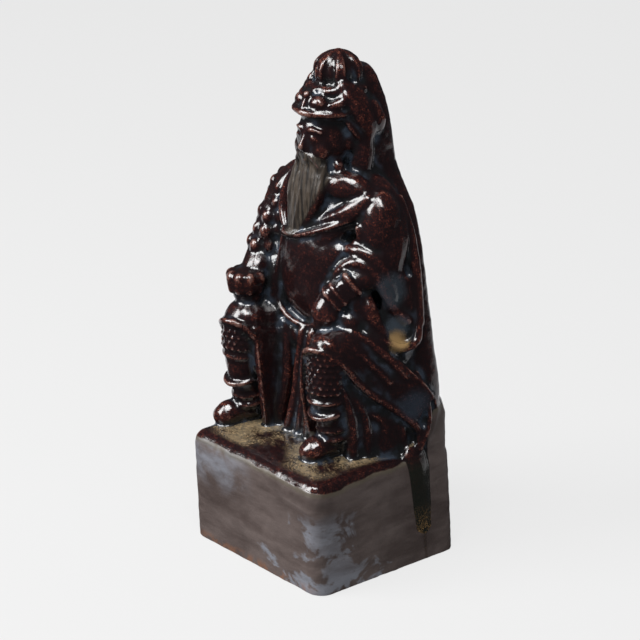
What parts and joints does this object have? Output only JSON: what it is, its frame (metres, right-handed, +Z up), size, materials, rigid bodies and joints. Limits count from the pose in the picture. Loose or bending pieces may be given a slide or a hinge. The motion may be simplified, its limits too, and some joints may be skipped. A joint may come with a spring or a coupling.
{
  "type": "god of wealth figure",
  "caption": "Seated bearded figure in armour and a wide-sleeved robe on a square block, a brown-glazed ceramic ornament that stands on a shelf or altar.",
  "frame": {"origin": "middle of the block's foot, on the surface it stands on", "axes": "+Z up, the figure faces -Y, its own left hand is on +X"},
  "size_m": [0.1124, 0.1028, 0.2778],
  "materials": {
    "brown_glaze": "thick glossy brown-black glaze over the figure, satin slip on the block's sides"
  },
  "bodies": {
    "root": {"god_of_wealth_figure": "brown_glaze"}
  },
  "joints": []
}
